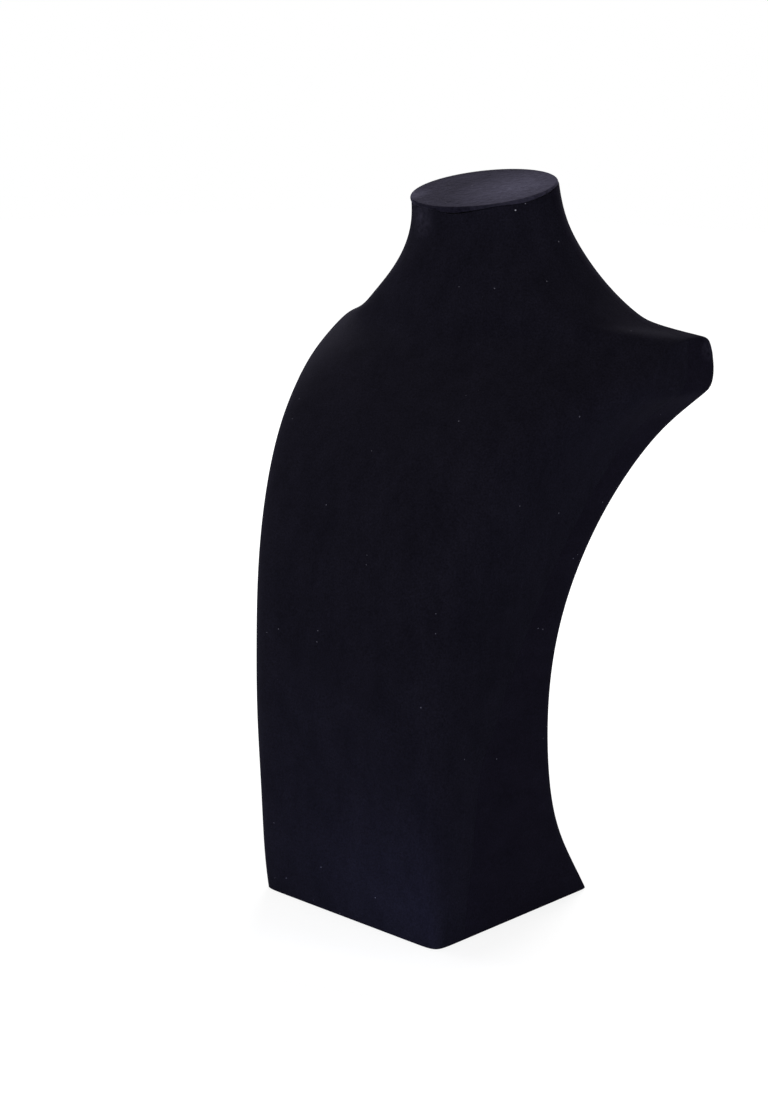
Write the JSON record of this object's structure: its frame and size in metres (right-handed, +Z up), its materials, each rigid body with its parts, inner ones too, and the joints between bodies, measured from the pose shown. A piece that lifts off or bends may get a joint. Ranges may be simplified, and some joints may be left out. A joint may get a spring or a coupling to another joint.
{
  "type": "necklace stand",
  "caption": "Neck-and-shoulders display bust for necklaces, a hollow moulded form on a square foot, covered in black velvet with an oval board on the neck.",
  "frame": {"origin": "centre of the square foot's underside, on the ground", "axes": "+Z up, -Y the way the bust faces, X along the shoulders"},
  "size_m": [0.235, 0.1723, 0.3994],
  "materials": {
    "moulded_shell": "matte",
    "board": "raw",
    "velvet": "short pile",
    "felt": "felted"
  },
  "bodies": {
    "root": {"bust_shell": "moulded_shell", "base_board": "board", "front_velvet": "velvet", "back_velvet": "velvet", "neck_board": "board", "neck_velvet": "velvet", "base_felt": "felt"}
  },
  "joints": []
}
